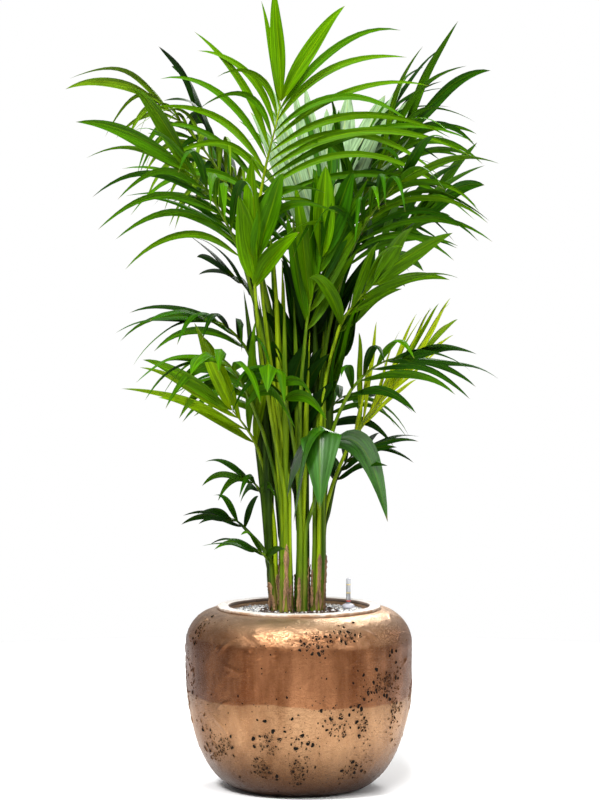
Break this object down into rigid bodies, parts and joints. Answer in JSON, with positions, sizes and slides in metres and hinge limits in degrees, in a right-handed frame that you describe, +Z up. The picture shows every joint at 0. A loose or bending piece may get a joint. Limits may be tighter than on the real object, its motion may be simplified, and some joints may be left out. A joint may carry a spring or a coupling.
{
  "type": "potted kentia palm",
  "caption": "Feather-leaved palm clump with long arching leaflets, growing in a squat round metallic planter with a pale rim and gravel dressing.",
  "frame": {"origin": "middle of the planter's flat underside, which stands on the floor", "axes": "+Z up along the planter's axis; +X to the plant's right seen from its front; the front looks along -Y"},
  "size_m": [0.877, 0.7986, 1.604],
  "materials": {
    "bronze": "patinated bronze with pits",
    "pale_rim": "satin",
    "soil": "moist growing medium",
    "gravel": "crushed stone",
    "gauge_grey": "satin",
    "gauge_clear": "clear",
    "sheath": "fibrous",
    "leaf_green": "satin leaf",
    "leaf_young": "satin leaf"
  },
  "bodies": {
    "root": {"planter": "bronze", "planter_rim": "pale_rim", "substrate": "soil", "gravel_dressing": "gravel", "gauge_foot": "gauge_grey", "gauge_tube": "gauge_clear", "stem_1": "sheath", "stem_2": "sheath", "stem_3": "sheath", "stem_4": "sheath", "stem_5": "sheath", "stem_6": "sheath", "stem_7": "sheath", "frond_front_top": "leaf_green", "frond_back_fan": "leaf_green", "frond_left_arch": "leaf_green", "frond_upper_left": "leaf_green", "frond_left_dark": "leaf_green", "frond_right_high": "leaf_green", "frond_right_back_high": "leaf_green", "frond_right_mid": "leaf_green", "frond_right_low": "leaf_green", "frond_right_bright": "leaf_green", "frond_centre_right": "leaf_green", "frond_centre_left": "leaf_green", "frond_left_back": "leaf_green", "frond_right_light": "leaf_young", "frond_right_drooping": "leaf_green", "frond_lower_right": "leaf_green", "frond_lower_right_back": "leaf_green", "frond_mid_left_high": "leaf_green", "frond_mid_left_low": "leaf_green", "frond_left_light": "leaf_green", "frond_small_left_high": "leaf_green", "frond_small_left_mid": "leaf_green", "frond_small_left_low": "leaf_green", "frond_centre_drooping": "leaf_green", "frond_back_left": "leaf_green", "frond_back_centre": "leaf_green", "frond_back_right": "leaf_green", "frond_back_low_left": "leaf_green", "frond_back_low_right": "leaf_green", "frond_inner_high": "leaf_green", "frond_inner_low": "leaf_green", "frond_inner_right": "leaf_green"}
  },
  "joints": []
}
